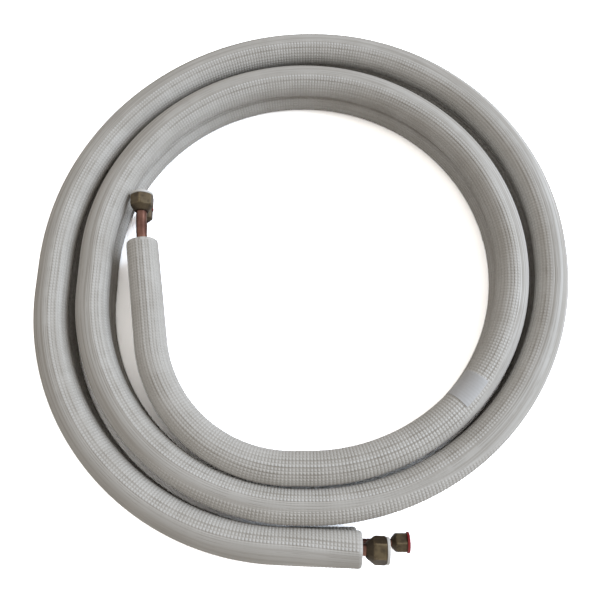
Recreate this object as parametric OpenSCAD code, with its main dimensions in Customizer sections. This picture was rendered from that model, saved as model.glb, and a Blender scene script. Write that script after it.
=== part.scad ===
// Twin copper line set, wound flat: a gas line lying on a liquid line, each in its own foam sleeve.
// The route is a bend schedule: quarter bends and straight runs, wound clockwise seen from above.
// +Z is up, the floor is z = 0 and the origin is the middle of the plan of the outer turn.

/* [Gas line] */
// outside diameter of the larger copper tube
gas_tube_od = 9.52; // [8.8:0.02:10.2]
// wall of the larger copper tube
gas_tube_wall = 0.8; // [0.6:0.05:1.1]
// foam wall round the larger tube, with the clearance inside it
gas_foam_wall = 9.24; // [8.84:0.02:10.64]
// bare copper between sleeve and nut at the outer end
gas_stub_outer = 3.6; // [2:0.2:12]
// bare copper between sleeve and nut at the inner end
gas_stub_inner = 30; // [16:0.5:36]

/* [Liquid line] */
// outside diameter of the smaller copper tube
liquid_tube_od = 6.35; // [5.8:0.05:6.8]
// wall of the smaller copper tube
liquid_tube_wall = 0.7; // [0.5:0.05:0.9]
// foam wall round the smaller tube, with the clearance inside it
liquid_foam_wall = 9.025; // [7.525:0.025:9.525]
// bare copper between sleeve and nut at the outer end
liquid_stub_outer = 29; // [8:0.5:40]
// bare copper between sleeve and nut at the inner end
liquid_stub_inner = 33; // [12:0.5:36]

/* [Winding] */
// mean bend radius of the outer turn
coil_r = 217; // [190:1:260]
// gap between turns where they lie side by side
turn_gap = 0.5; // [0.4:0.1:3]
// further gap between the turns on the left side
left_gap = 7; // [4:0.5:12]
// further gap where the last bend leaves the turn beside it
last_gap = 1; // [0.6:0.1:4]
// straight tail before the first bend
tail = 57; // [40:1:80]
// how far the outer end of the gas line swings out of the ring
tail_swing = 2.7; // [0.3:0.1:5]
// straight run after the last bend
inner_run = 93; // [70:1:104]
// bend radius of the bare copper past the straight run
stub_bend = 245; // [180:5:400]
// gap between each inner cap and the turn beside it
inner_clear = 0.5; // [0.4:0.1:12]
// most that the liquid line may lie aside of the gas line at the inner end
inner_aside = 6; // [0:0.5:8]
// gap between the two sleeves where one lies on the other
stack_gap = 0.3; // [0.25:0.05:0.6]

/* [Flare nuts] */
// gas nut across flats
gas_nut_af = 19.05; // [18.5:0.05:21]
// gas nut shoulder and hexagon lengths
gas_nut_len = [7.2, 8.5]; // [5:0.1:12]
// liquid nut across flats
liquid_nut_af = 14.3; // [13.8:0.1:16]
// liquid nut shoulder and hexagon lengths
liquid_nut_len = [4.1, 8.1]; // [4:0.1:10]
// chamfer round the mouth of each nut
nut_chamfer = 0.7; // [0.4:0.1:1]

/* [Dust caps] */
// thickness of a cap's flange
cap_flange = 2.4; // [1.8:0.1:3.2]
// length of a cap's plug
cap_plug = 4; // [2.5:0.1:4.5]
// wall of a cap's plug
cap_wall = 1.1; // [0.8:0.1:1.4]

/* [Label] */
// length of the bare label along the sleeve
label_len = 28; // [20:1:40]
// label edges round the sleeve, outward and inward from its top
label_wrap = [16, 96]; // [10:1:110]
// label thickness
label_thick = 0.25; // [0.2:0.05:0.4]
// where the label sits on its bend
label_at = 318; // [290:1:350]

/* [Hidden] */
$fn = 48;
tube_clear = 0.25;
nut_clear = 0.2;
cap_clear = 0.12;
label_clear = 0.12;
end_lap = 2;
end_relief = 0.12;
neck_wall = 0.9;

gas_sleeve_od = gas_tube_od + 2 * gas_foam_wall;
gas_sleeve_bore = gas_tube_od + 2 * tube_clear;
liquid_sleeve_od = liquid_tube_od + 2 * liquid_foam_wall;
liquid_sleeve_bore = liquid_tube_od + 2 * tube_clear;
liquid_z = liquid_sleeve_od / 2;
gas_z = liquid_sleeve_od + stack_gap + gas_sleeve_od / 2;
pitch = gas_sleeve_od + turn_gap;

// bend radii of the two full turns and of the last bend
r1 = coil_r - 9;
r2 = coil_r + 12.5;
r3 = coil_r - 5.5;
r4 = coil_r - 1.5;
r5 = r1 - pitch + 3;
r6 = r2 - pitch - 16;
r7 = r3 - pitch + 2;
r8 = r4 - pitch - 5.5;
r9 = r8 - pitch - 30;
bend = [r1, r2, r3, r4, r5, r6, r7, r8, r9];
last = len(bend) - 1;
// straight runs after the bends, where those on the left bring each new turn beside the last
run3 = 6.5;
run6 = 0.5;
run8 = 13.5;
run1 = pitch + run3 - (r1 + r2 - r3 - r4);
run4 = r2 + r3 - r4 - r5 - pitch - left_gap;
run5 = pitch + last_gap + r7 + r8 - r5 - r6;
run = [run1, 0, run3, run4, run5, run6, 0, run8];
start = [r1 - (r2 + r3) / 2, (tail_swing - end_relief - r1 - run1 - r2) / 2];

function heading(k) = [cos(180 - 90 * k), sin(180 - 90 * k)];
function bend_start(k) =
    k == 0 ? start
    : bend_start(k - 1) + bend[k - 1] * (heading(k - 1) + heading(k)) + run[k - 1] * heading(k);
function bend_centre(k) = bend_start(k) + bend[k] * heading(k + 1);
function bend_end(k) = bend_centre(k) + bend[k] * heading(k);

// gas tail: the straight that leaves the first bend and ends tail_swing outside it
swing_far = norm([tail, r1 + tail_swing]);
tail_lean = acos(r1 / swing_far) - atan2(tail, r1 + tail_swing);
gas_tail = sqrt(pow(swing_far, 2) - pow(r1, 2));

// sizes inside a flare nut and its bell, from the width across flats and the two lengths
function nut_total(lens) = lens[0] + lens[1];
function mouth_r(af) = af * 0.375;
function seat_at(lens) = lens[0] + 0.6;
function flare_r(af) = mouth_r(af) - 0.75;
function rim_r(af) = mouth_r(af) + 3;

// angle that a bent stub turns through
function stub_turn(stub) = stub / stub_bend * 180 / PI;

// lean of the inner end: it leaves the last bend where its cap just clears the turn beside it
beside = last - 3;
gas_turn = stub_turn(gas_stub_inner);
gas_head = nut_total(gas_nut_len) + cap_flange;
gas_rim = rim_r(gas_nut_af);
inner_reach = inner_run + (stub_bend + gas_rim) * sin(gas_turn) + gas_head * cos(gas_turn);
inner_side = bend[last] - stub_bend + (stub_bend + gas_rim) * cos(gas_turn) - gas_head * sin(gas_turn);
inner_far = norm([inner_side, inner_reach]);
inner_room = bend[beside] - gas_sleeve_od / 2 - inner_clear;
apart = bend_centre(last) - bend_centre(beside);
apart_cos = (pow(inner_room, 2) - apart * apart - pow(inner_far, 2)) / (2 * inner_far * norm(apart));
inner_turn = 180 + atan2(apart[1], apart[0]) - acos(apart_cos) + atan2(inner_reach, inner_side);
// the lean is set to a thousandth of a degree, so that the last bend starts true
inner_lean = floor(1000 * inner_turn) / 1000;
inner_start = bend_centre(last) - bend[last] * [cos(inner_lean), sin(inner_lean)];

// middle of the bend in a stub, past a straight run
function stub_centre(run) =
    inner_start + run * [-sin(inner_lean), cos(inner_lean)] + stub_bend * [cos(inner_lean), sin(inner_lean)];

// how far the liquid line lies aside at the inner end, so that its cap clears the same turn
liquid_tail = tail - 1.5;
liquid_run = inner_run - 1;
liquid_lean = inner_lean - stub_turn(liquid_stub_inner);
liquid_out = (stub_bend + rim_r(liquid_nut_af)) * [cos(liquid_lean), sin(liquid_lean)];
liquid_on = (nut_total(liquid_nut_len) + cap_flange) * [-sin(liquid_lean), cos(liquid_lean)];
liquid_cap_at = stub_centre(liquid_run) - liquid_out + liquid_on - bend_centre(beside);
liquid_room = bend[beside] - liquid_sleeve_od / 2 - inner_clear;
liquid_most = liquid_cap_at[0] + sqrt(pow(liquid_room, 2) - pow(liquid_cap_at[1], 2));
liquid_aside = floor(100 * min(inner_aside, liquid_most)) / 100;

// outer end: local +Z runs along the line, d past the start of the first bend
module at_outer(z, d, lean) {
    foot = bend_centre(0) - r1 * [sin(lean), cos(lean)];
    translate([foot[0], foot[1], z])
        rotate([0, 0, -lean])
            rotate([0, 90, 0])
                translate([0, 0, d])
                    children();
}

// inner straight run: local +Z runs along the line, d past the end of the last bend
module at_inner(z, aside, d) {
    translate([inner_start[0] - aside, inner_start[1], z])
        rotate([0, 0, inner_lean])
            rotate([-90, 0, 0])
                translate([0, 0, d])
                    children();
}

// inner tip: local +Z runs along the line, d past the end of the bent stub
module at_tip(z, aside, run, stub, d) {
    lean = inner_lean - stub_turn(stub);
    foot = stub_centre(run) - stub_bend * [cos(lean), sin(lean)];
    translate([foot[0] - aside, foot[1], z])
        rotate([0, 0, lean])
            rotate([-90, 0, 0])
                translate([0, 0, d])
                    children();
}

module ring(od, bore) {
    difference() {
        circle(d = od);
        circle(d = bore);
    }
}

// all bends of the route and the runs between them
module wound(od, bore, z, lean, aside) {
    for (k = [0:last]) {
        early = k == 0 ? lean : 0;
        late = k == last ? inner_lean : 0;
        moved = k == last ? aside : 0;
        longer = k == last - 1 ? aside : 0;
        translate([bend_centre(k)[0] - moved, bend_centre(k)[1], z])
            rotate_extrude(angle = 90 - early - late, start = 180 - 90 * k + late)
                translate([bend[k], 0])
                    ring(od, bore);
        if (k < last && run[k] > 0)
            translate([bend_end(k)[0], bend_end(k)[1], z])
                rotate([0, 90, 90 - 90 * k])
                    linear_extrude(run[k] + longer)
                        ring(od, bore);
    }
}

// foam sleeve along the whole route with plain cut ends
module sleeve(od, bore, z, lean, aside, outer_len, inner_len) {
    union() {
        wound(od, bore, z, lean, aside);
        at_outer(z, -end_lap, lean)
            linear_extrude(end_lap + outer_len)
                ring(od - 2 * end_relief, bore + 2 * end_relief);
        at_inner(z, aside, -end_lap)
            linear_extrude(end_lap + inner_len)
                ring(od - 2 * end_relief, bore + 2 * end_relief);
    }
}

// straight tube end that bells out at 45 degrees inside its nut
module belled_end(tube_od, tube_wall, nut_at, af, lens) {
    r = tube_od / 2 - end_relief;
    wall = tube_wall - 2 * end_relief;
    bell = nut_at + seat_at(lens);
    rise = flare_r(af) - r;
    lip = wall * 0.7;
    rotate_extrude()
        polygon([
            [r - wall, -end_lap],
            [r, -end_lap],
            [r, bell],
            [r + rise, bell + rise],
            [r + rise - lip, bell + rise + lip],
            [r - wall, bell + wall * 0.4],
        ]);
}

// copper tube along the whole route, with a bent stub at the inner end and both ends belled
module copper(od, wall, z, lean, aside, outer_nut, run, stub, af, lens) {
    bore = od - 2 * wall;
    turn = stub_turn(stub);
    union() {
        wound(od, bore, z, lean, aside);
        at_outer(z, 0, lean)
            belled_end(od, wall, outer_nut, af, lens);
        at_inner(z, aside, -end_lap)
            linear_extrude(run + 2 * end_lap)
                ring(od - 2 * end_relief, bore + 2 * end_relief);
        translate([stub_centre(run)[0] - aside, stub_centre(run)[1], z])
            rotate_extrude(angle = turn, start = 180 + inner_lean - turn)
                translate([stub_bend, 0])
                    ring(od, bore);
        at_tip(z, aside, run, stub, 0)
            belled_end(od, wall, 0, af, lens);
    }
}

// flare nut: shoulder at z = 0, hexagon, and mouth at the far end
module flare_nut(af, lens, tube_od) {
    total = nut_total(lens);
    corner = af / sqrt(3);
    bore = tube_od / 2 + nut_clear;
    neck = bore + neck_wall;
    mouth = mouth_r(af);
    seat = seat_at(lens) - 0.1;
    difference() {
        intersection() {
            cylinder(r = corner, h = total, $fn = 6);
            rotate_extrude()
                polygon([
                    [0, 0],
                    [neck, 0],
                    [neck + 0.4, 0.4],
                    [corner * 0.93, lens[0] * 0.78],
                    [corner + 0.1, lens[0] * 1.15],
                    [corner + 0.1, total - nut_chamfer],
                    [af / 2 - 0.2, total],
                    [0, total],
                ]);
        }
        rotate_extrude()
            polygon([
                [0, -1],
                [bore, -1],
                [bore, seat],
                [mouth, seat + mouth - bore],
                [mouth, total - 0.5],
                [mouth + 1, total + 0.5],
                [0, total + 0.5],
            ]);
    }
}

// press-in dust cap with z = 0 at the mouth of its nut
module dust_cap(af) {
    plug = mouth_r(af) - cap_clear;
    rim = rim_r(af);
    rotate_extrude()
        polygon([
            [0, cap_clear],
            [plug - cap_wall, cap_clear],
            [plug - cap_wall, -cap_plug],
            [plug - 0.3, -cap_plug],
            [plug, -cap_plug + 0.6],
            [plug, cap_clear],
            [rim, cap_clear],
            [rim, cap_flange - 0.4],
            [rim - 0.4, cap_flange],
            [rim - 1.6, cap_flange],
            [rim - 2.2, cap_flange - 0.7],
            [0, cap_flange - 0.7],
        ]);
}

gas_outer_nut_at = gas_tail + gas_stub_outer;
liquid_outer_nut_at = liquid_tail + liquid_stub_outer;

module gas_sleeve() {
    color("whitesmoke")
        sleeve(gas_sleeve_od, gas_sleeve_bore, gas_z, tail_lean, 0, gas_tail, inner_run);
}

module liquid_sleeve() {
    color("whitesmoke")
        sleeve(liquid_sleeve_od, liquid_sleeve_bore, liquid_z, 0, liquid_aside, liquid_tail, liquid_run);
}

module gas_tube() {
    color("peru")
        copper(gas_tube_od, gas_tube_wall, gas_z, tail_lean, 0, gas_outer_nut_at, inner_run, gas_stub_inner,
            gas_nut_af, gas_nut_len);
}

module liquid_tube() {
    color("peru")
        copper(liquid_tube_od, liquid_tube_wall, liquid_z, 0, liquid_aside, liquid_outer_nut_at, liquid_run,
            liquid_stub_inner, liquid_nut_af, liquid_nut_len);
}

// a flat of the outer gas nut faces up, and a corner of the other nuts
module gas_nut_outer() {
    color("darkgoldenrod")
        at_outer(gas_z, gas_outer_nut_at, tail_lean)
            rotate([0, 0, 30])
                flare_nut(gas_nut_af, gas_nut_len, gas_tube_od);
}

module gas_nut_inner() {
    color("darkgoldenrod")
        at_tip(gas_z, 0, inner_run, gas_stub_inner, 0)
            rotate([0, 0, 30])
                flare_nut(gas_nut_af, gas_nut_len, gas_tube_od);
}

module liquid_nut_outer() {
    color("darkgoldenrod")
        at_outer(liquid_z, liquid_outer_nut_at, 0)
            flare_nut(liquid_nut_af, liquid_nut_len, liquid_tube_od);
}

module liquid_nut_inner() {
    color("darkgoldenrod")
        at_tip(liquid_z, liquid_aside, liquid_run, liquid_stub_inner, 0)
            rotate([0, 0, 30])
                flare_nut(liquid_nut_af, liquid_nut_len, liquid_tube_od);
}

module gas_cap_outer() {
    color("white")
        at_outer(gas_z, gas_outer_nut_at + nut_total(gas_nut_len), tail_lean)
            dust_cap(gas_nut_af);
}

module gas_cap_inner() {
    color("white")
        at_tip(gas_z, 0, inner_run, gas_stub_inner, nut_total(gas_nut_len))
            dust_cap(gas_nut_af);
}

module liquid_cap_outer() {
    color("firebrick")
        at_outer(liquid_z, liquid_outer_nut_at + nut_total(liquid_nut_len), 0)
            dust_cap(liquid_nut_af);
}

module liquid_cap_inner() {
    color("firebrick")
        at_tip(liquid_z, liquid_aside, liquid_run, liquid_stub_inner, nut_total(liquid_nut_len))
            dust_cap(liquid_nut_af);
}

// bare label wrapped over the inner side of the sleeve on the last full bend
module label() {
    k = last - 1;
    r = gas_sleeve_od / 2 + label_clear;
    span = label_len / bend[k] * 180 / PI;
    low = 90 - label_wrap[0];
    high = 90 + label_wrap[1];
    reach = 2 * r;
    color("gainsboro")
        translate([bend_centre(k)[0], bend_centre(k)[1], gas_z])
            rotate_extrude(angle = span, start = label_at - span / 2)
                translate([bend[k], 0])
                    intersection() {
                        ring(2 * r + 2 * label_thick, 2 * r);
                        polygon([
                            [0, 0],
                            [reach * cos(low), reach * sin(low)],
                            [reach * cos((low + high) / 2), reach * sin((low + high) / 2)],
                            [reach * cos(high), reach * sin(high)],
                        ]);
                    }
}

gas_sleeve();
liquid_sleeve();
gas_tube();
liquid_tube();
gas_nut_outer();
gas_nut_inner();
liquid_nut_outer();
liquid_nut_inner();
gas_cap_outer();
gas_cap_inner();
liquid_cap_outer();
liquid_cap_inner();
label();
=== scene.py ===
import bpy
import math
import numpy as np
from mathutils import Matrix, Vector, noise


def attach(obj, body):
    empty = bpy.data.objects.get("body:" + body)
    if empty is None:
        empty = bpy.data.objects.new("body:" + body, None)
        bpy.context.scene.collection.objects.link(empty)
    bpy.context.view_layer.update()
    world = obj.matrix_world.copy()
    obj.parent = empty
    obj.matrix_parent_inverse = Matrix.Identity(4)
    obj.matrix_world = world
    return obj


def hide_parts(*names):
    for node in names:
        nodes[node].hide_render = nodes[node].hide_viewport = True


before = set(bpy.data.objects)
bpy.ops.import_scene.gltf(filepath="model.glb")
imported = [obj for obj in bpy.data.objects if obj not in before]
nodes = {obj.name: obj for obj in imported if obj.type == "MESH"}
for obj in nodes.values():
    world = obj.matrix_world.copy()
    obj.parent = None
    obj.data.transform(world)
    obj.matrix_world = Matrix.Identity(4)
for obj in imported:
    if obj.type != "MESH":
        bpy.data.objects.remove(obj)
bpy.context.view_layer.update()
mm = 0.001

# the coil's bend schedule in mm and degrees, clockwise from the outer end
coilRoute = {
    "firstBend": (-12.5, -229.71),   # nearest point of the first bend's circle
    "bends": [208, 229.5, 211.5, 215.5, 182.5, 185, 185, 181.5, 123],   # radii of the quarter turns
    "runs": [24.5, 0, 6.5, 7.5, 28.5, 0.5, 0, 13.5],                    # straights between them
    "innerLean": 8.795,              # the last bend stops short by this
    "stubBend": 245.0,               # radius of the bare tube at the inner end
}
# height and radii of a sleeve, its tube and bare stubs, its own runs, and its nuts' shoulder and hexagon
gasLine = {
    "z": 38.7, "radius": 14.0, "bore": 4.9, "tubeOd": 9.52, "stubs": (3.6, 30.0),
    "tail": 66.178, "tailLean": 2.5114, "innerRun": 93.0, "aside": 0.0,
    "nutAcross": 19.05, "nutLengths": (7.2, 8.5),
}
liquidLine = {
    "z": 12.2, "radius": 12.2, "bore": 3.35, "tubeOd": 6.35, "stubs": (29.0, 33.0),
    "tail": 55.5, "tailLean": 0.0, "innerRun": 92.0, "aside": 4.58,
    "nutAcross": 14.3, "nutLengths": (4.1, 8.1),
}


# lengths and bend radii of a line from its outer cut to its inner one
def lineSteps(line):
    steps = [(line["tail"], 0.0)]
    lastBend = len(coilRoute["bends"]) - 1
    for k, bendR in enumerate(coilRoute["bends"]):
        turn = 90.0
        if k == 0:
            turn -= line["tailLean"]
        if k == lastBend:
            turn -= coilRoute["innerLean"]
        steps.append((bendR * math.radians(turn), bendR))
        if k < lastBend:
            run = coilRoute["runs"][k] + (line["aside"] if k == lastBend - 1 else 0.0)
            if run > 0:
                steps.append((run, 0.0))
    steps.append((line["innerRun"], 0.0))
    return steps


def lineLength(line):
    return sum(length for length, bendR in lineSteps(line))


# place and heading after a distance straight on, or round a clockwise bend
def goOn(x, y, heading, distance, bendR):
    if bendR == 0:
        return x + distance * math.cos(heading), y + distance * math.sin(heading), heading
    turned = heading - distance / bendR
    x += bendR * (math.sin(heading) - math.sin(turned))
    y += bendR * (math.cos(turned) - math.cos(heading))
    return x, y, turned


# plan position and heading at each distance from the outer cut, past both cuts too
def alongLine(line, distances):
    lean = math.radians(line["tailLean"])
    firstX, firstY = coilRoute["firstBend"]
    firstR = coilRoute["bends"][0]
    x = firstX - firstR * math.sin(lean) + line["tail"] * math.cos(lean)
    y = firstY + firstR * (1 - math.cos(lean)) - line["tail"] * math.sin(lean)
    here = (x, y, math.pi - lean)
    innerStub = (line["stubs"][1], coilRoute["stubBend"])
    straightOn = (1.0, 0.0)
    steps = lineSteps(line) + [innerStub, straightOn]
    ends = np.cumsum([length for length, bendR in steps])
    starts = []
    for length, bendR in steps:
        starts.append(here)
        here = goOn(*here, length, bendR)
    points = []
    stepAt = np.minimum(np.searchsorted(ends, distances), len(steps) - 1)
    for s, k in zip(distances, stepAt):
        length, bendR = steps[k]
        points.append(goOn(*starts[k], s - ends[k] + length, bendR))
    return np.array(points)


# middle of a bend in plan, found from a point half way round it
def bendMiddle(line, number):
    travelled = 0.0
    bendsPassed = 0
    for length, bendR in lineSteps(line):
        if bendR > 0:
            if bendsPassed == number:
                break
            bendsPassed += 1
        travelled += length
    x, y, heading = alongLine(line, [travelled + length / 2])[0]
    return x + bendR * math.sin(heading), y - bendR * math.cos(heading)


# frame of an end: local x up, z along the line out of the end
def endFrame(line, outer, beyond):
    s = -beyond if outer else lineLength(line) + beyond
    x, y, heading = alongLine(line, [s])[0]
    way = Vector((math.cos(heading), math.sin(heading), 0)) * (-1 if outer else 1)
    up = Vector((0, 0, 1))
    place = Matrix((up, way.cross(up), way)).transposed().to_4x4()
    place.translation = Vector((x, y, line["z"])) * mm
    return place


# quads of a grid of rows and columns, with the columns closed into rings, and the rows too if closed
def ringFaces(rows, cols, closed=False):
    i = np.arange(rows if closed else rows - 1)[:, None]
    j = np.arange(cols)[None, :]
    here, ahead = i * cols, (i + 1) % rows * cols
    k = (j + 1) % cols
    return np.stack([here + j, here + k, ahead + k, ahead + j], axis=-1).reshape(-1, 4)


def turnedRing(angles, radius, z):
    level = np.full(len(angles), z)
    return np.stack([radius * np.cos(angles), radius * np.sin(angles), level], axis=-1)


def newPiece(name, verts, faces, material):
    mesh = bpy.data.meshes.new(name)
    mesh.from_pydata([tuple(v) for v in verts], [], [tuple(int(a) for a in f) for f in faces])
    mesh.update()
    mesh.polygons.foreach_set("use_smooth", [True] * len(mesh.polygons))
    piece = bpy.data.objects.new(name, mesh)
    bpy.context.scene.collection.objects.link(piece)
    mesh.materials.append(material)
    return piece


# small helpers for building node materials
def emptyTree(owner, outputKind="ShaderNodeOutputMaterial"):
    owner.use_nodes = True
    tree = owner.node_tree
    tree.nodes.clear()
    return tree, tree.nodes.new(outputKind).inputs["Surface"]


def newMaterial(name):
    material = bpy.data.materials.new(name)
    tree, surface = emptyTree(material)
    shader = tree.nodes.new("ShaderNodeBsdfPrincipled")
    tree.links.new(shader.outputs["BSDF"], surface)
    return material, tree, shader


def plug(tree, socket, value):
    if isinstance(value, bpy.types.NodeSocket):
        tree.links.new(value, socket)
    else:
        socket.default_value = value


def calc(tree, operation, a, b=0.0):
    node = tree.nodes.new("ShaderNodeMath")
    node.operation = operation
    plug(tree, node.inputs[0], a)
    plug(tree, node.inputs[1], b)
    return node.outputs[0]


def times(tree, product, *others):
    for value in others:
        product = calc(tree, "MULTIPLY", product, value)
    return product


def most(tree, a, b):
    return calc(tree, "MAXIMUM", a, b)


def opposite(tree, share):
    return calc(tree, "SUBTRACT", 1.0, share)


def ramp01(tree, value, low, high, toLow=0.0, toHigh=1.0):
    node = tree.nodes.new("ShaderNodeMapRange")
    node.interpolation_type = "SMOOTHSTEP"
    for socket, number in zip(node.inputs, (value, low, high, toLow, toHigh)):
        plug(tree, socket, number)
    return node.outputs["Result"]


def blendColour(tree, amount, a, b):
    node = tree.nodes.new("ShaderNodeMix")
    node.data_type = "RGBA"
    plug(tree, node.inputs["Factor"], amount)
    plug(tree, node.inputs[6], a)   # the two colour sockets, and the colour result
    plug(tree, node.inputs[7], b)
    return node.outputs[2]


def blendShader(tree, share, a, b):
    node = tree.nodes.new("ShaderNodeMixShader")
    for socket, value in zip(node.inputs, (share, a, b)):
        tree.links.new(value, socket)
    return node.outputs[0]


def grain(tree, where, scale, detail, rough=0.55):
    node = tree.nodes.new("ShaderNodeTexNoise")
    tree.links.new(where, node.inputs["Vector"])
    node.inputs["Scale"].default_value = scale
    node.inputs["Detail"].default_value = detail
    node.inputs["Roughness"].default_value = rough
    return node.outputs["Fac"]


def bumped(tree, shader, height, distance):
    node = tree.nodes.new("ShaderNodeBump")
    node.inputs["Strength"].default_value = 1.0
    node.inputs["Distance"].default_value = distance
    tree.links.new(height, node.inputs["Height"])
    tree.links.new(node.outputs["Normal"], shader.inputs["Normal"])


def objectPlace(tree):
    return tree.nodes.new("ShaderNodeTexCoord").outputs["Object"]


def painted(tree, name):
    node = tree.nodes.new("ShaderNodeAttribute")
    node.attribute_name = name
    return node.outputs["Fac"]


def layerPair(tree, name):
    node = tree.nodes.new("ShaderNodeUVMap")
    node.uv_map = name
    parts = tree.nodes.new("ShaderNodeSeparateXYZ")
    tree.links.new(node.outputs["UV"], parts.inputs[0])
    return parts.outputs["X"], parts.outputs["Y"]


def flatPlace(tree, x, y):
    node = tree.nodes.new("ShaderNodeCombineXYZ")
    tree.links.new(x, node.inputs[0])
    tree.links.new(y, node.inputs[1])
    return node.outputs[0]


# foam sleeves in white film, embossed in ribs across and rows along; bending has stretched a zone smooth
foamSleeve = {
    "ribPitch": 2.84, "rowPitch": 2.87, "columns": 30,
    "groove": 0.2, "crest": 0.05, "crestAt": (0.24, 0.76),          # mm deep and high, and shares of a pitch
    "wave": 0.12, "waveStep": 12.0, "waveScale": (0.018, 0.9),      # slow swelling, along and around
    "rim": 1.1, "rimLong": 1.7, "rimPlain": 3.6, "rimStart": 0.4,   # rounded and plain at the cuts
    "cutEdge": 0.4, "cutFace": (2.2, 0.3), "cutRings": 4, "cutRecess": 0.06, "boreDepths": (0.5, 6.0),
    # mm along the line, then the inner and outer edge of the smooth zone in degrees outward from the top
    "zone": [(0, 6, 80), (60, -11, 80), (130, -5, 80), (260, -4, 80), (390, -9, 80), (600, -8, 80),
             (860, -12, 80), (1100, -16, 80), (1200, -15, 80), (1280, -12, 50), (1330, -10, 26),
             (1370, -11, 12), (1460, -19, 13), (1520, -17, 18), (1580, -8, 30), (1640, -10, 60),
             (1750, -12, 70), (1930, -14, 60), (2060, -10, 80), (2170, -8, 80), (2280, 0, 80),
             (2380, 12, 80), (2470, 24, 70), (2560, 80, 110), (2916, 95, 125)],
    "zoneMean": (-25.0, -12.5, 0.0, 12.5, 25.0),   # the edges are averaged over these shifts
    "zoneFade": 9.0, "zoneLift": 0.02,             # degrees in which the ribs end, and mm of lift in the zone
    # from here on the seam leaves the zone's inner edge
    "seamEnd": [(2280, 0), (2380, 12), (2470, 8), (2580, 2), (2760, -6), (2916, -8)],
    # mm along the line, and how far bending has drawn the ribs flat
    "drawn": [(0, 0.2), (200, 0.12), (330, 0.45), (480, 0.5), (620, 0.3), (800, 0.3), (900, 0.6),
              (1220, 0.65), (1330, 0.35), (1460, 0.15), (1560, 0.15), (1680, 0.5), (1850, 0.5),
              (2000, 0.25), (2120, 0.35), (2200, 0.7), (2400, 0.6), (2480, 0.2), (2600, 0.18),
              (2750, 0.5), (2916, 0.6)],
    "drawnLoss": 0.7,                              # share of the lift that goes where they are flat
    "film": {
        "pale": (0.655, 0.638, 0.61, 1), "worn": (0.59, 0.57, 0.538, 1), "stain": (0.47, 0.415, 0.345, 1),
        # groove is the colour of the painted shade in the grooves, creases and streaks
        "groove": (0.36, 0.33, 0.293, 1), "bead": (0.66, 0.65, 0.63, 1), "smooth": (0.54, 0.522, 0.494, 1),
        # noise scale, detail and roughness; lanes and strands are stretched along the line
        "clouds": (22.0, 4.0), "patches": (60.0, 3.0), "fibres": (900.0, 2.0), "dirt": (9.0, 5.0, 0.6),
        "lanes": (0.83, 1.0), "laneStretch": 0.02, "strands": (1.15, 2.0, 0.6), "strandStretch": 0.012,
        "relief": 0.00037, "creaseDepth": 0.35, "fibreDepth": 0.1,   # metres, and shares of it
        "ribShade": 0.31, "rowShade": 0.7, "seamShade": 0.9, "streakShade": 0.72, "creaseShade": 0.6,
        "creases": (1.5, 3.3, 5.6, 9.4), "creaseLate": 0.05,   # mm into the zone, each rarer than the last
        "drawnFill": 0.75, "beadHighlightAt": 1.4,                   # share of a groove, and mm inside the seam to the painted highlight on the beads
    },
    # where each mask of the film starts and ends, then its values there if not 0 and 1
    "filmRamps": {
        # mm
        "zoneEdge": (-0.5, 0.5), "stretchEdge": (-0.5, 3.0), "cutEnd": (1.6, 4.2, 1.0, 0.0),
        "creaseSide": (0.1, 0.5, 1.0, 0.0), "beside": (3.0, 14.0, 1.0, 0.0), "beadHighlight": (0.4, 1.2, 0.85, 0.0),
        # shares of a pitch, then shares of a noise or a mask
        "rise": (0.02, 0.34), "seamWide": (0.1, 0.46, 1.0, 0.0), "seamNarrow": (0.04, 0.3, 0.45, 0.0),
        "pressed": (0.3, 0.7, 0.55, 1.0), "creaseComes": (0.3, 0.62), "seamComes": (0.3, 0.65, 0.55, 1.0),
        "wornAway": (0.35, 0.68), "stained": (0.60, 0.80, 0.0, 0.3), "stretchClouds": (0.3, 0.7, 0.75, 1.0),
        "rough": (0.3, 0.7, 0.5, 0.66), "laneDark": (0.36, 0.62), "strandDark": (0.45, 0.6),
        "streakDrawn": (0.0, 0.55, 0.3, 1.0), "streakPlain": (0.0, 1.0, 0.55, 1.0),
        "creaseDrawn": (0.1, 0.45, 0.5, 1.0), "beadHighlightDrawn": (0.2, 0.6, 1.0, 0.45),
    },
    "cut": {
        "light": (0.62, 0.615, 0.60, 1), "dark": (0.43, 0.42, 0.40, 1), "cells": 1500.0,
        "cellEdge": (0.05, 0.5), "patches": (180.0, 3.0), "patchy": (0.5, 0.8, 0.0, 0.4),
        "rough": 0.85, "relief": 0.0003,
    },
}


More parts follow.
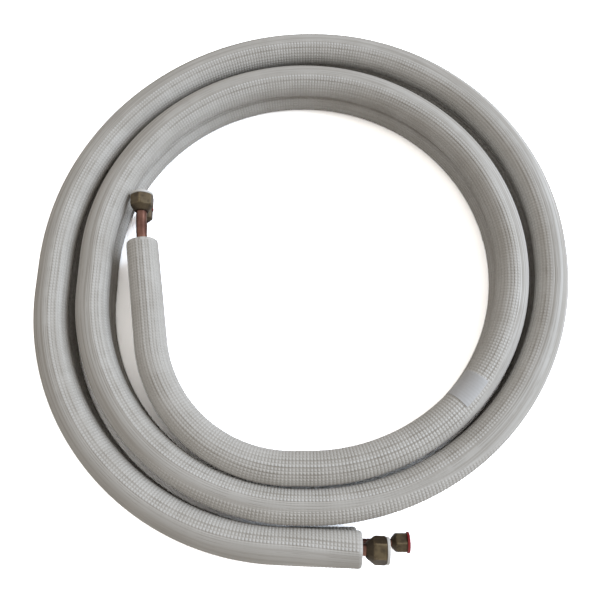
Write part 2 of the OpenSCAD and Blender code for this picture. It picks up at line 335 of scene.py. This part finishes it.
def filmMaterial():
    film = foamSleeve["film"]
    material, tree, shader = newMaterial("embossedFilm")

    def ramp(value, name):
        return ramp01(tree, value, *foamSleeve["filmRamps"][name])

    alongRibs, acrossRows = layerPair(tree, "emboss")   # counted in pitches, with the seam at 0
    fromInner, fromOuter = layerPair(tree, "zone")      # mm into the smooth zone from its two edges
    fromSeam, fromEnd = layerPair(tree, "seam")         # mm outward from the seam, and from the nearer cut
    drawn = painted(tree, "drawn")
    place = objectPlace(tree)
    clouds = grain(tree, place, *film["clouds"])
    patches = grain(tree, place, *film["patches"])

    # one raised bead where a rib and a row cross, and none in the smooth zone or on the rims
    ribSide = calc(tree, "PINGPONG", alongRibs, 0.5)    # 0 in a groove, 0.5 on a rib
    rowSide = calc(tree, "PINGPONG", acrossRows, 0.5)
    inside = calc(tree, "MINIMUM", fromInner, fromOuter)
    plain = most(tree, ramp(inside, "zoneEdge"), ramp(fromEnd, "cutEnd"))
    embossed = opposite(tree, plain)
    ribUp = most(tree, ramp(ribSide, "rise"), times(tree, drawn, film["drawnFill"]))
    rowUp = ramp(rowSide, "rise")
    bead = times(tree, ribUp, rowUp)
    pressed = ramp(patches, "pressed")                  # the film is pressed deeper in places

    # fine creases along the smooth zone, which come and go
    crease = 0.0
    comesAt, fullAt = foamSleeve["filmRamps"]["creaseComes"]
    for k, line in enumerate(film["creases"]):
        off = calc(tree, "ABSOLUTE", calc(tree, "SUBTRACT", fromInner, line))
        comes = ramp01(tree, patches, comesAt + film["creaseLate"] * k, fullAt)
        crease = most(tree, crease, times(tree, ramp(off, "creaseSide"), comes))
    crease = times(tree, crease, plain)

    height = times(tree, bead, pressed, embossed)
    height = calc(tree, "SUBTRACT", height, times(tree, crease, film["creaseDepth"]))
    fibres = grain(tree, place, *film["fibres"])
    height = calc(tree, "ADD", height, times(tree, fibres, film["fibreDepth"]))
    bumped(tree, shader, height, film["relief"])

    # painted shade as dark lines: around the beads, in some grooves between rows, beside the seam, in streaks
    # and in creases
    low = times(tree, opposite(tree, bead), embossed, pressed, film["ribShade"])
    rowNumber = calc(tree, "FLOOR", calc(tree, "ADD", acrossRows, 0.5))
    lane = flatPlace(tree, rowNumber, times(tree, alongRibs, film["laneStretch"]))
    rows = ramp(grain(tree, lane, *film["lanes"]), "laneDark")
    rows = times(tree, rows, opposite(tree, rowUp), embossed, drawn, film["rowShade"])
    oddRow = calc(tree, "PINGPONG", rowNumber, 1.0)     # the seam and every second row from it are wider
    wide = times(tree, ramp(rowSide, "seamWide"), opposite(tree, oddRow))
    narrow = times(tree, ramp(rowSide, "seamNarrow"), oddRow)
    seams = times(tree, calc(tree, "ADD", wide, narrow), ramp(patches, "seamComes"))
    beside = ramp(calc(tree, "ABSOLUTE", fromSeam), "beside")
    seams = times(tree, seams, beside, embossed, film["seamShade"])
    strand = flatPlace(tree, acrossRows, times(tree, alongRibs, film["strandStretch"]))
    streaks = ramp(grain(tree, strand, *film["strands"]), "strandDark")
    streaks = times(tree, streaks, ramp(drawn, "streakDrawn"), ramp(plain, "streakPlain"))
    streaks = times(tree, streaks, film["streakShade"])
    folds = times(tree, crease, ramp(drawn, "creaseDrawn"), film["creaseShade"])
    for lines in (rows, seams, streaks, folds):
        low = most(tree, low, lines)

    # colours, from the film itself to the painted shade of its lines and the painted highlight on the row of
    # beads inside the seam
    colour = blendColour(tree, ramp(clouds, "wornAway"), film["pale"], film["worn"])
    dirt = grain(tree, place, *film["dirt"])
    colour = blendColour(tree, ramp(dirt, "stained"), colour, film["stain"])
    stretched = times(tree, ramp(inside, "stretchEdge"), ramp(clouds, "stretchClouds"))
    colour = blendColour(tree, stretched, colour, film["smooth"])
    # painted shade: the grooves, creases and streaks take the darker groove colour
    colour = blendColour(tree, low, colour, film["groove"])
    # painted highlight: the beads of one row inside the seam are lighter
    fromBeads = calc(tree, "ABSOLUTE", calc(tree, "ADD", fromSeam, film["beadHighlightAt"]))
    beadHighlight = times(tree, ramp(fromBeads, "beadHighlight"), ramp(drawn, "beadHighlightDrawn"), ribUp)
    colour = blendColour(tree, beadHighlight, colour, film["bead"])
    tree.links.new(colour, shader.inputs["Base Color"])
    tree.links.new(ramp(clouds, "rough"), shader.inputs["Roughness"])
    return material


# cut end of the foam, with its fine open cells, each darker in its pit with painted shade
def cutMaterial():
    look = foamSleeve["cut"]
    material, tree, shader = newMaterial("cutFoam")
    place = objectPlace(tree)
    cells = tree.nodes.new("ShaderNodeTexVoronoi")
    cells.inputs["Scale"].default_value = look["cells"]
    tree.links.new(place, cells.inputs["Vector"])
    pitDepthAndShade = ramp01(tree, cells.outputs["Distance"], *look["cellEdge"])
    patches = grain(tree, place, *look["patches"])
    # painted shade: each cell is darker towards its pit; the patches are the foam's own tone
    colour = blendColour(tree, pitDepthAndShade, look["dark"], look["light"])
    colour = blendColour(tree, ramp01(tree, patches, *look["patchy"]), colour, look["dark"])
    tree.links.new(colour, shader.inputs["Base Color"])
    shader.inputs["Roughness"].default_value = look["rough"]
    bumped(tree, shader, pitDepthAndShade, look["relief"])
    return material


filmStuff = filmMaterial()
cutStuff = cutMaterial()


# one column of a table whose first column is mm along the line
def fromTable(table, column, distances):
    return np.interp(distances, [row[0] for row in table], [row[column] for row in table])


# inner and outer edge of the smooth zone
def zoneEdges(distances):
    shifts = foamSleeve["zoneMean"]
    edges = []
    for column in (1, 2):
        mean = sum(fromTable(foamSleeve["zone"], column, distances + shift) for shift in shifts) / len(shifts)
        edges.append(np.radians(mean))
    return edges


# the seam runs along the inner edge of the smooth zone, and on past the end of it
def seamLine(distances):
    inner, outer = zoneEdges(distances)
    beyond = np.radians(fromTable(foamSleeve["seamEnd"], 1, distances))
    return np.where(distances < foamSleeve["seamEnd"][0][0], inner, beyond)


# distances of the rings of a sleeve, with a groove and two crests for each rib, their lifts and the pitch
def ribRings(total):
    ribs = int(round(total / foamSleeve["ribPitch"]))
    pitch = total / ribs
    groove, crest = -foamSleeve["groove"], foamSleeve["crest"]
    shares = np.array([0.0, *foamSleeve["crestAt"]])
    distances = np.append((np.arange(ribs)[:, None] + shares[None, :]).reshape(-1), ribs) * pitch
    lifts = np.append(np.tile([groove, crest, crest], ribs), groove)
    return distances, lifts, pitch


# how far the film stands off a plain sleeve
def filmRise(distances, lifts, around, total, seed):
    form = foamSleeve
    inner, outer = zoneEdges(distances)
    outside = np.maximum(inner[:, None] - around[None, :], around[None, :] - outer[:, None])
    keep = np.clip(outside / math.radians(form["zoneFade"]) + 0.5, 0, 1)
    flat = fromTable(form["drawn"], 1, distances)
    rise = (lifts * (1 - form["drawnLoss"] * flat))[:, None] * keep + form["zoneLift"] * (1 - keep)
    # slow swelling of the foam
    along, across = form["waveScale"]
    coarse = np.arange(0, total + form["waveStep"], form["waveStep"])
    swell = np.array([[noise.noise(Vector((s * along, math.cos(a) * across + seed, math.sin(a) * across)))
                       for a in around] for s in coarse])
    for j in range(len(around)):
        rise[:, j] += form["wave"] * np.interp(distances, coarse, swell[:, j])
    # plain rims at the two cuts, rounded over
    fromCut = np.minimum(distances, total - distances)
    rise *= np.clip(fromCut / form["rimPlain"] - form["rimStart"], 0, 1)[:, None]
    rise -= form["rim"] * (np.clip(1 - fromCut / form["rimLong"], 0, 1) ** 2)[:, None]
    return rise


# rings square to a path of plan positions and headings; angles count outward from the top
def ringsAround(path, radius, around, z):
    x, y, heading = path.T[:, :, None]
    side = radius * np.sin(around)
    up = radius * np.cos(around)
    return np.stack([x - side * np.sin(heading), y + side * np.cos(heading), z + up], axis=-1)


# rings of a cut end, inward: the edge of the rim, the face and a little of the bore
def cutRings(line, s, inward, around):
    form = foamSleeve
    fromRim, fromBore = form["cutFace"]
    steps = [(line["radius"] - form["rim"] - form["cutEdge"], 0.0)]
    for r in np.linspace(line["radius"] - fromRim, line["bore"] + fromBore, form["cutRings"]):
        steps.append((r, form["cutRecess"]))
    steps += [(line["bore"], depth) for depth in form["boreDepths"]]
    x, y, heading = alongLine(line, [s])[0]
    path = np.array([goOn(x, y, heading, inward * depth, 0) for r, depth in steps])
    radius = np.array([r for r, depth in steps])[:, None]
    return ringsAround(path, radius, around, line["z"])


# layers for the film: ribs and rows, mm into the smooth zone, and mm from the seam and the cuts
def paintSleeve(mesh, line, ringS, around, pitch, total):
    rows, cols = len(ringS), len(around)
    inner, outer = zoneEdges(ringS)
    seam = seamLine(ringS)
    fromCut = np.minimum(ringS, total - ringS)
    i = np.repeat(np.arange(rows - 1), cols)
    j = np.tile(np.arange(cols), rows - 1)
    layers = {name: np.empty((len(i), 4, 2)) for name in ("emboss", "zone", "seam")}
    for n, (di, dj) in enumerate(((0, 0), (0, 1), (1, 1), (1, 0))):
        ring = i + di
        angle = around[j] + dj * 2 * math.pi / cols
        fromSeam = (angle - seam[ring]) * line["radius"]
        layers["emboss"][:, n, 0] = ringS[ring] / pitch
        layers["emboss"][:, n, 1] = fromSeam / foamSleeve["rowPitch"]
        layers["zone"][:, n, 0] = (angle - inner[ring]) * line["radius"]
        layers["zone"][:, n, 1] = (outer[ring] - angle) * line["radius"]
        layers["seam"][:, n, 0] = fromSeam
        layers["seam"][:, n, 1] = fromCut[ring]
    for name, values in layers.items():
        mesh.uv_layers.new(name=name).data.foreach_set("uv", values[:, ::-1].reshape(-1))
    drawn = fromTable(foamSleeve["drawn"], 1, ringS)
    mesh.attributes.new("drawn", "FLOAT", "POINT").data.foreach_set("value", np.repeat(drawn, cols))


def makeSleeve(name, line, seed):
    total = lineLength(line)
    cols = foamSleeve["columns"]
    around = np.linspace(-math.pi, math.pi, cols, endpoint=False)
    distances, lifts, pitch = ribRings(total)
    radius = line["radius"] + filmRise(distances, lifts, around, total, seed)
    outside = ringsAround(alongLine(line, distances), radius, around, line["z"])
    startCut = cutRings(line, 0.0, 1, around)[::-1]
    endCut = cutRings(line, total, -1, around)
    grid = np.concatenate([startCut, outside, endCut])
    ringS = np.concatenate([np.zeros(len(startCut)), distances, np.full(len(endCut), total)])
    faces = ringFaces(len(grid), cols)
    piece = newPiece(name, grid.reshape(-1, 3) * mm, faces[:, ::-1], filmStuff)
    piece.data.materials.append(cutStuff)
    onCut = np.zeros(len(faces), dtype=np.int32)
    cutFaces = (len(endCut) - 1) * cols
    onCut[:cutFaces] = 1
    onCut[-cutFaces:] = 1
    piece.data.polygons.foreach_set("material_index", onCut)
    paintSleeve(piece.data, line, ringS, around, pitch, total)
    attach(piece, "root")
    return piece


gasSleeve = makeSleeve("gasSleeve", gasLine, seed=3.1)
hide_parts("gas_sleeve")
liquidSleeve = makeSleeve("liquidSleeve", liquidLine, seed=11.7)
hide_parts("liquid_sleeve")
print("sleeves:", len(gasSleeve.data.polygons), "and", len(liquidSleeve.data.polygons), "faces")


# dull copper, browned unevenly and spotted
copperTube = {
    "bright": (0.2, 0.104, 0.078, 1), "brown": (0.11, 0.053, 0.041, 1), "spot": (0.05, 0.024, 0.019, 1),
    "clouds": (60.0, 4.0), "cloudy": (0.35, 0.65), "rough": (0.3, 0.7, 0.5, 0.34),
    "spots": (420.0, 3.0), "spotty": (0.62, 0.75, 0.0, 0.6), "relief": 0.00004,
}


def copperMaterial():
    look = copperTube
    material, tree, shader = newMaterial("dullCopper")
    place = objectPlace(tree)
    clouds = grain(tree, place, *look["clouds"])
    spots = grain(tree, place, *look["spots"])
    colour = blendColour(tree, ramp01(tree, clouds, *look["cloudy"]), look["brown"], look["bright"])
    colour = blendColour(tree, ramp01(tree, spots, *look["spotty"]), colour, look["spot"])
    tree.links.new(colour, shader.inputs["Base Color"])
    shader.inputs["Metallic"].default_value = 1.0
    tree.links.new(ramp01(tree, clouds, *look["rough"]), shader.inputs["Roughness"])
    bumped(tree, shader, spots, look["relief"])
    return material


copperStuff = copperMaterial()
for name in ("gas_tube", "liquid_tube"):
    tube = nodes[name]
    tube.data.materials.clear()
    tube.data.materials.append(copperStuff)
print("copper tubes finished")


# forged brass nuts gone olive, worn brighter on the corners and edges, partly a painted highlight; painted
# shade darkens the flanks turned from up, the shoulder and the bore
flareNut = {
    "wornAndHighlighted": (0.25, 0.19, 0.11, 1), "olive": (0.138, 0.103, 0.056, 1), "dark": (0.068, 0.048, 0.027, 1),
    "paintedShadeColour": (0.03, 0.019, 0.012, 1),
    "clouds": (160.0, 4.0), "cloudy": (0.32, 0.66), "rough": (0.3, 0.7, 0.55, 0.4),
    "scale": (900.0, 3.0), "rubPatchy": (0.35, 0.6, 0.3, 0.8), "relief": 0.00006,
    "metallic": 0.3, "specular": 0.3,
    "columns": 96, "rings": (20, 6, 9), "fineTo": 1.3, "endBand": 1.4,   # times the shoulder, and mm
    "boreGap": 0.2, "wall": 0.9, "seat": 0.5, "mouthShare": 0.375,       # of the width across flats
    "soft": 0.22, "cornerCut": 0.18, "cornerSoft": 0.25, "edgeBreak": 0.12,
    "lip": 0.3, "hexFrom": 1.15, "hexClear": 0.1, "chamfer": (0.7, 0.2),
    "mouthLip": [(0.02, 1.0), (0.12, 0.6), (0.6, 0.0)],   # mm below the end, and wider than the mouth
    "boreLip": [(0.4, 0.0), (0.05, 0.3)],                 # mm from the start, and wider than the bore
    "cornerRub": 0.07, "cornerRubFrom": 0.3, "edgeRub": (0.12, 0.45), "edgeRubFrom": 0.7,
    "unshadedWithin": 20.0, "shadeSpread": 45.0, "paintedShade": 0.72, "coneShade": 0.5, "coneFade": 0.4,
}


def brassMaterial():
    look = flareNut
    material, tree, shader = newMaterial("forgedBrass")
    place = objectPlace(tree)
    clouds = grain(tree, place, *look["clouds"])
    scale = grain(tree, place, *look["scale"])
    colour = blendColour(tree, ramp01(tree, clouds, *look["cloudy"]), look["dark"], look["olive"])
    # painted shade on the flanks, the shoulder and the bore
    colour = blendColour(tree, painted(tree, "paintedShade"), colour, look["paintedShadeColour"])
    # corners and edges brighter: wear on the brass, partly a painted highlight
    wornAndHighlighted = times(tree, painted(tree, "wearAndHighlight"), ramp01(tree, scale, *look["rubPatchy"]))
    colour = blendColour(tree, wornAndHighlighted, colour, look["wornAndHighlighted"])
    tree.links.new(colour, shader.inputs["Base Color"])
    shader.inputs["Metallic"].default_value = look["metallic"]
    shader.inputs["Specular IOR Level"].default_value = look["specular"]
    tree.links.new(ramp01(tree, clouds, *look["rough"]), shader.inputs["Roughness"])
    bumped(tree, shader, scale, look["relief"])
    return material


brassStuff = brassMaterial()


# the smaller of two radii, blended over the width k
def softLess(a, b, k):
    h = np.clip(0.5 + 0.5 * (b - a) / k, 0, 1)
    return b * (1 - h) + a * h - k * h * (1 - h)


def mouthRadius(line):
    return line["nutAcross"] * flareNut["mouthShare"]


def makeNut(name, node, line, outer, cornerUp):
    form = flareNut
    shoulder, hexLong = line["nutLengths"]
    total = shoulder + hexLong
    flatR, cornerR = line["nutAcross"] / 2, line["nutAcross"] / math.sqrt(3)
    bore = line["tubeOd"] / 2 + form["boreGap"]
    neck = bore + form["wall"]
    mouth = mouthRadius(line)
    seat = shoulder + form["seat"]
    cols = form["columns"]
    a = np.linspace(0, 2 * math.pi, cols, endpoint=False)
    turn = a if cornerUp else a + math.pi / 6
    fold = (turn % (math.pi / 3)) - math.pi / 6   # from the middle of each flat
    hexR = softLess(flatR / np.cos(fold), np.full(cols, cornerR - form["cornerCut"]), form["cornerSoft"])

    # the hexagon is trimmed by a turned outline: neck, shoulder, clear of the corners, chamfer
    chamferLong, chamferIn = form["chamfer"]
    clearR = cornerR + form["hexClear"]
    outline = [(0.0, neck), (form["lip"], neck + form["lip"]), (shoulder, cornerR),
               (shoulder * form["hexFrom"], clearR), (total - chamferLong, clearR),
               (total, flatR - chamferIn)]
    outlineZ, outlineR = zip(*outline)
    marks = [0.0, shoulder * form["fineTo"], total - form["endBand"], total]
    spans = [np.linspace(*ends, count) for *ends, count in zip(marks, marks[1:], form["rings"])]
    zs = np.unique(np.concatenate(spans))
    # painted shade: the flats that face up stay unshaded, the flanks turned from up grow darker
    facing = np.abs((a - fold + math.pi) % (2 * math.pi) - math.pi)
    turnedAway = (facing - math.radians(form["unshadedWithin"])) / math.radians(form["shadeSpread"])
    flankShade = form["paintedShade"] * np.clip(turnedAway, 0, 1)
    edgeWidth, edgeShare = form["edgeRub"]
    rings, wearAndHighlights, paintedShades = [], [], []
    for z in zs:
        limit = np.interp(z, outlineZ, outlineR)
        r = softLess(hexR, np.full(cols, limit), form["soft"])
        if z in (zs[0], zs[-1]):
            r = r - form["edgeBreak"]
        # worn corners and edges, partly a painted highlight
        corner = np.exp(-((np.abs(fold) - math.pi / 6) / form["cornerRub"]) ** 2)
        corner = corner * (limit > flatR + form["cornerRubFrom"])
        edge = np.exp(-((r - limit) / edgeWidth) ** 2) * edgeShare * (z > shoulder * form["edgeRubFrom"])
        # painted shade on the shoulder cone
        onCone = np.clip((hexR - limit) / form["coneFade"], 0, 1)
        rings.append(turnedRing(a, r, z))
        wearAndHighlights.append(np.maximum(corner, edge))
        paintedShades.append(np.maximum(flankShade, form["coneShade"] * onCone))

    # the mouth, the flare seat and the bore, back to the neck, darkened all over with painted shade
    inside = [(total - deep, mouth + wider) for deep, wider in form["mouthLip"]]
    inside += [(seat + mouth - bore, mouth), (seat, bore)]
    inside += [(z, bore + wider) for z, wider in form["boreLip"]]
    inside.append((0.0, neck - form["lip"]))
    for z, r in inside:
        rings.append(turnedRing(a, r, z))
        wearAndHighlights.append(np.zeros(cols))
        paintedShades.append(np.full(cols, form["paintedShade"]))
    grid = np.stack(rings)
    faces = ringFaces(len(grid), cols, closed=True)
    piece = newPiece(name, grid.reshape(-1, 3) * mm, faces, brassStuff)
    for layerName, values in (("wearAndHighlight", wearAndHighlights), ("paintedShade", paintedShades)):
        layer = piece.data.attributes.new(layerName, "FLOAT", "POINT")
        layer.data.foreach_set("value", np.clip(np.concatenate(values), 0, 1))
    piece.data.transform(endFrame(line, outer, line["stubs"][0 if outer else 1]))
    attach(piece, "root")
    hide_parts(node)


makeNut("gasNutOuter", "gas_nut_outer", gasLine, outer=True, cornerUp=False)
makeNut("gasNutInner", "gas_nut_inner", gasLine, outer=False, cornerUp=True)
makeNut("liquidNutOuter", "liquid_nut_outer", liquidLine, outer=True, cornerUp=True)
makeNut("liquidNutInner", "liquid_nut_inner", liquidLine, outer=False, cornerUp=True)
print("flare nuts made")


# moulded dust caps, dished, with a little grime
dustCap = {
    "tints": {
        "white": {"clean": (0.74, 0.73, 0.71, 1), "grime": (0.55, 0.52, 0.47, 1), "rough": (0.42, 0.58)},
        "red": {"clean": (0.28, 0.012, 0.012, 1), "grime": (0.13, 0.008, 0.008, 1), "rough": (0.34, 0.5)},
    },
    "clouds": (240.0, 4.0), "grimy": (0.5, 0.75, 0.0, 0.7), "roughClouds": (0.3, 0.7), "relief": 0.00004,
    "flange": 2.4, "plug": 4.0, "wall": 1.1, "fit": 0.12, "overhang": 3.0, "stand": 0.12, "axis": 0.05,
    "hollowRound": 0.1, "footRound": 0.15, "footTaper": (0.3, 0.6), "plugRound": (0.08, 0.02),
    "rimFoot": [(0.2, 0.12), (0.05, 0.2), (0.0, 0.4)],   # mm in from the rim, and up from the nut
    # mm in from the rim, and down from the top: over the lip to the edge of the dish
    "rimTop": [(0.0, 0.55), (0.1, 0.2), (0.4, 0.0), (1.5, 0.0), (1.75, 0.12), (2.1, 0.6), (2.4, 0.72)],
    "button": [(1.2, 0.72), (0.9, 0.62), (0.05, 0.58)],  # mm from the middle, and down from the top
    "columns": 72,
}


def capMaterial(tint):
    look = dustCap["tints"][tint]
    material, tree, shader = newMaterial(tint + "Cap")
    clouds = grain(tree, objectPlace(tree), *dustCap["clouds"])
    colour = blendColour(tree, ramp01(tree, clouds, *dustCap["grimy"]), look["clean"], look["grime"])
    tree.links.new(colour, shader.inputs["Base Color"])
    rough = ramp01(tree, clouds, *dustCap["roughClouds"], *look["rough"])
    tree.links.new(rough, shader.inputs["Roughness"])
    bumped(tree, shader, clouds, dustCap["relief"])
    return material


capStuff = {tint: capMaterial(tint) for tint in dustCap["tints"]}


def makeCap(name, node, line, outer, tint):
    form = dustCap
    mouth = mouthRadius(line)
    plugR = mouth - form["fit"]
    hollow = plugR - form["wall"]
    rim = mouth + form["overhang"]
    foot, stand, top = -form["plug"], form["stand"], form["flange"]
    footRound = form["footRound"]
    taperIn, taperUp = form["footTaper"]
    plugOut, plugUp = form["plugRound"]
    # radius and height round the section: the hollow plug, the flange's rim and lip, the dish and its button
    outline = [(form["axis"], stand), (hollow - form["hollowRound"], stand), (hollow, 0.0)]
    outline += [(hollow, foot + footRound), (hollow + footRound, foot)]
    outline += [(plugR - taperIn, foot), (plugR, foot + taperUp), (plugR, plugUp), (plugR + plugOut, stand)]
    outline += [(rim - inward, up) for inward, up in form["rimFoot"]]
    outline += [(rim - inward, top - down) for inward, down in form["rimTop"]]
    outline += [(r, top - down) for r, down in form["button"]]
    cols = form["columns"]
    a = np.linspace(0, 2 * math.pi, cols, endpoint=False)
    grid = np.stack([turnedRing(a, r, z) for r, z in outline])
    lastRing = (len(grid) - 1) * cols
    faces = [tuple(f) for f in ringFaces(len(grid), cols)[:, ::-1]]
    faces.append(tuple(range(cols)))
    faces.append(tuple(lastRing + n for n in reversed(range(cols))))
    piece = newPiece(name, grid.reshape(-1, 3) * mm, faces, capStuff[tint])
    nutEnd = line["stubs"][0 if outer else 1] + sum(line["nutLengths"])
    piece.data.transform(endFrame(line, outer, nutEnd))
    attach(piece, "root")
    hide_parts(node)


makeCap("gasCapOuter", "gas_cap_outer", gasLine, outer=True, tint="white")
makeCap("gasCapInner", "gas_cap_inner", gasLine, outer=False, tint="white")
makeCap("liquidCapOuter", "liquid_cap_outer", liquidLine, outer=True, tint="red")
makeCap("liquidCapInner", "liquid_cap_inner", liquidLine, outer=False, tint="red")
print("dust caps made")


# bare label stuck over the ribs on the last full bend
bareLabel = {
    "face": (0.59, 0.588, 0.595, 1), "shade": (0.545, 0.543, 0.548, 1),
    "clouds": (70.0, 3.0), "cloudy": (0.35, 0.7),
    "fibres": (1300.0, 2.0), "rough": (0.3, 0.7, 0.45, 0.6), "relief": 0.00002,
    "bend": 7, "at": 318.0, "length": 28.0,   # which bend, degrees round its middle, and mm along it
    "wrap": (-16.0, 96.0),                    # degrees inward from the top of the sleeve
    "under": 14.12, "thick": 0.2, "rows": 56, "columns": 44,
    "crinkle": 0.05, "crinkleAt": (90.0, 5.0, 2.3), "ripple": 0.03,   # the ripple follows the ribs below
}


def labelMaterial():
    look = bareLabel
    material, tree, shader = newMaterial("bareLabel")
    place = objectPlace(tree)
    clouds = grain(tree, place, *look["clouds"])
    fibres = grain(tree, place, *look["fibres"])
    colour = blendColour(tree, ramp01(tree, clouds, *look["cloudy"]), look["face"], look["shade"])
    tree.links.new(colour, shader.inputs["Base Color"])
    tree.links.new(ramp01(tree, fibres, *look["rough"]), shader.inputs["Roughness"])
    bumped(tree, shader, fibres, look["relief"])
    return material


def makeLabel():
    form = bareLabel
    bendR = coilRoute["bends"][form["bend"]]
    middleX, middleY = bendMiddle(gasLine, form["bend"])
    middle, half = math.radians(form["at"]), form["length"] / bendR / 2
    low, high = (math.radians(w) for w in form["wrap"])
    rows, cols = form["rows"], form["columns"]
    along, across, seed = form["crinkleAt"]
    ribWaves = bendR / foamSleeve["ribPitch"] * 2 * math.pi
    verts = []
    for sheetR in (form["under"], form["under"] + form["thick"]):
        for t in np.linspace(middle - half, middle + half, rows):
            for a in np.linspace(low, high, cols):
                crinkle = form["crinkle"] * noise.noise(Vector((t * along, a * across, seed)))
                r = sheetR + crinkle + form["ripple"] * math.cos(t * ribWaves)
                out = bendR - r * math.sin(a)
                x, y = middleX + out * math.cos(t), middleY + out * math.sin(t)
                verts.append((x, y, gasLine["z"] + r * math.cos(a)))
    sheet = rows * cols
    faces = []
    for i in range(rows - 1):
        for j in range(cols - 1):
            p = i * cols + j
            faces.append((p + sheet, p + 1 + sheet, p + cols + 1 + sheet, p + cols + sheet))
            faces.append((p, p + cols, p + cols + 1, p + 1))
    # the four sides of the sheet, in turn
    edge = [i * cols for i in range(rows)] + [(rows - 1) * cols + j for j in range(1, cols)]
    edge += [i * cols + cols - 1 for i in range(rows - 2, -1, -1)] + list(range(cols - 2, 0, -1))
    for p, q in zip(edge, edge[1:] + edge[:1]):
        faces.append((p, p + sheet, q + sheet, q))
    piece = newPiece("bareLabel", np.array(verts) * mm, faces, labelMaterial())
    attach(piece, "root")
    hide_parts("label")


makeLabel()
print("label made")


# pale floor, white to the camera where the light reaches it
studioFloor = {
    "bounce": (0.42, 0.41, 0.40, 1), "mirrored": (1.55, 1.5, 1.45, 1), "seen": (4.1, 4.15, 4.25, 1),
    "size": 6.0, "drop": 0.0002,
}


def floorShade(tree, look):
    node = tree.nodes.new("ShaderNodeBsdfDiffuse")
    node.inputs["Color"].default_value = studioFloor[look]
    return node.outputs[0]


def makeFloor():
    half = studioFloor["size"] / 2
    corners = [(-half, -half, 0), (half, -half, 0), (half, half, 0), (-half, half, 0)]
    mesh = bpy.data.meshes.new("studioFloor")
    mesh.from_pydata(corners, [], [(0, 1, 2, 3)])
    floor = bpy.data.objects.new("studioFloor", mesh)
    floor.location.z = -studioFloor["drop"]
    bpy.context.scene.collection.objects.link(floor)
    material = bpy.data.materials.new("paleFloor")
    tree, surface = emptyTree(material)
    path = tree.nodes.new("ShaderNodeLightPath").outputs
    mirrored = most(tree, path["Is Glossy Ray"], path["Is Transmission Ray"])
    shown = floorShade(tree, "bounce")
    for share, look in ((mirrored, "mirrored"), (path["Is Camera Ray"], "seen")):
        shown = blendShader(tree, share, shown, floorShade(tree, look))
    tree.links.new(shown, surface)
    mesh.materials.append(material)


makeFloor()

# a large soft window on the right, and a sky that is brighter to the far right
lightPlan = {
    "sky": (0.365, 0.6), "skyWay": (0.9, 0.44), "skyColour": (1, 0.955, 0.895, 1), "backdrop": (1, 1, 1, 1),
    "window": {"at": (1.24, 0.24, 0.78), "size": (1.2, 0.8), "power": 14.4, "colour": (0.88, 1.0, 1.15)},
}


def makeWindow():
    plan = lightPlan["window"]
    data = bpy.data.lights.new("window", "AREA")
    data.shape = "RECTANGLE"
    data.size, data.size_y = plan["size"]
    data.energy = plan["power"]
    data.color = plan["colour"]
    lamp = bpy.data.objects.new("window", data)
    lamp.location = plan["at"]
    lamp.rotation_euler = (-Vector(plan["at"])).to_track_quat("-Z", "Y").to_euler()
    bpy.context.scene.collection.objects.link(lamp)


def makeSky():
    world = bpy.data.worlds.new("softSky")
    bpy.context.scene.world = world
    tree, surface = emptyTree(world, "ShaderNodeOutputWorld")
    path = tree.nodes.new("ShaderNodeLightPath").outputs
    seen = most(tree, path["Is Camera Ray"], path["Is Glossy Ray"])
    seen = most(tree, seen, path["Is Transmission Ray"])
    sky = tree.nodes.new("ShaderNodeBackground")
    sky.inputs["Color"].default_value = lightPlan["skyColour"]
    way = tree.nodes.new("ShaderNodeSeparateXYZ")
    tree.links.new(tree.nodes.new("ShaderNodeTexCoord").outputs["Generated"], way.inputs[0])
    right, far = (times(tree, way.outputs[n], share) for n, share in enumerate(lightPlan["skyWay"]))
    strength = ramp01(tree, calc(tree, "ADD", right, far), -1.0, 1.0, *lightPlan["sky"])
    tree.links.new(strength, sky.inputs["Strength"])
    white = tree.nodes.new("ShaderNodeBackground")
    white.inputs["Color"].default_value = lightPlan["backdrop"]
    tree.links.new(blendShader(tree, seen, sky.outputs[0], white.outputs[0]), surface)


makeWindow()
makeSky()

# camera leaning over the near side of the coil
cameraPlan = {"at": (-0.00313, -0.17981, 0.5416), "tilt": 16.7, "lens": 36.0, "sensor": 36.0, "nearest": 0.01}
cameraData = bpy.data.cameras.new("overhead")
cameraData.sensor_width = cameraPlan["sensor"]
cameraData.lens = cameraPlan["lens"]
cameraData.clip_start = cameraPlan["nearest"]
camera = bpy.data.objects.new("overhead", cameraData)
camera.location = cameraPlan["at"]
camera.rotation_euler = (math.radians(cameraPlan["tilt"]), 0, 0)
bpy.context.scene.collection.objects.link(camera)
bpy.context.scene.camera = camera
bpy.context.scene.view_settings.view_transform = "Standard"
print("stage, lights and camera set")
